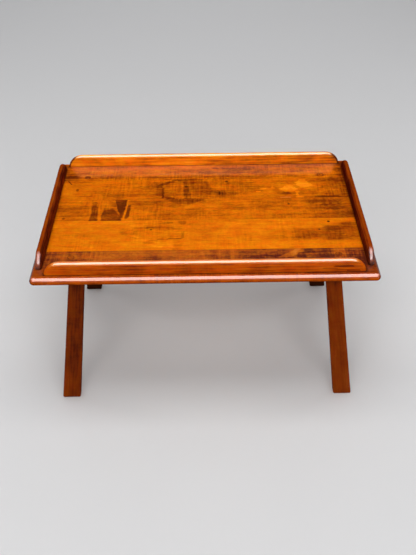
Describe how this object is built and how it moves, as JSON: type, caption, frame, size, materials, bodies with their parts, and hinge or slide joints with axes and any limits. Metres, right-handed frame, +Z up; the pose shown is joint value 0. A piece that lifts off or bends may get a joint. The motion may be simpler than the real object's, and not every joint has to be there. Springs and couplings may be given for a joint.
{
  "type": "butlers tray table",
  "caption": "Low wooden tray table: a plank top with rounded edges and a raised rail along each side, screwed to cross battens that carry splayed flat legs, a little wider at the foot.",
  "frame": {"origin": "on the floor under the middle of the tray", "axes": "+X along the tray's length, to the right of someone who faces its front; -Y to the front; +Z up"},
  "size_m": [0.914, 0.606, 0.497],
  "materials": {
    "top_wood": "figured solid wood, honey stain, gloss varnish",
    "rail_wood": "solid wood, red-brown stain, gloss varnish",
    "batten_wood": "solid wood, dark brown stain, satin",
    "leg_wood": "solid wood, dark red-brown stain, gloss varnish",
    "peg_wood": "plain beech",
    "plug_wood": "solid wood, brown stain, gloss varnish",
    "screw_steel": "plain steel, dulled"
  },
  "bodies": {
    "root": {"plank_front": "top_wood", "plank_second": "top_wood", "plank_middle": "top_wood", "plank_fourth": "top_wood", "plank_rear": "top_wood", "rail_front": "rail_wood", "rail_rear": "rail_wood", "rail_left": "rail_wood", "rail_right": "rail_wood", "batten_left": "batten_wood", "batten_right": "batten_wood", "leg_front_left": "leg_wood", "leg_front_right": "leg_wood", "leg_rear_left": "leg_wood", "leg_rear_right": "leg_wood", "tenon_wedges": "peg_wood", "dowels_front_seam": "peg_wood", "dowels_second_seam": "peg_wood", "dowels_third_seam": "peg_wood", "dowels_rear_seam": "peg_wood", "top_plugs": "plug_wood", "top_screws": "screw_steel", "rail_front_screws": "screw_steel", "rail_rear_screws": "screw_steel", "rail_left_screws": "screw_steel", "rail_right_screws": "screw_steel", "batten_left_screws": "screw_steel", "batten_right_screws": "screw_steel"}
  },
  "joints": []
}
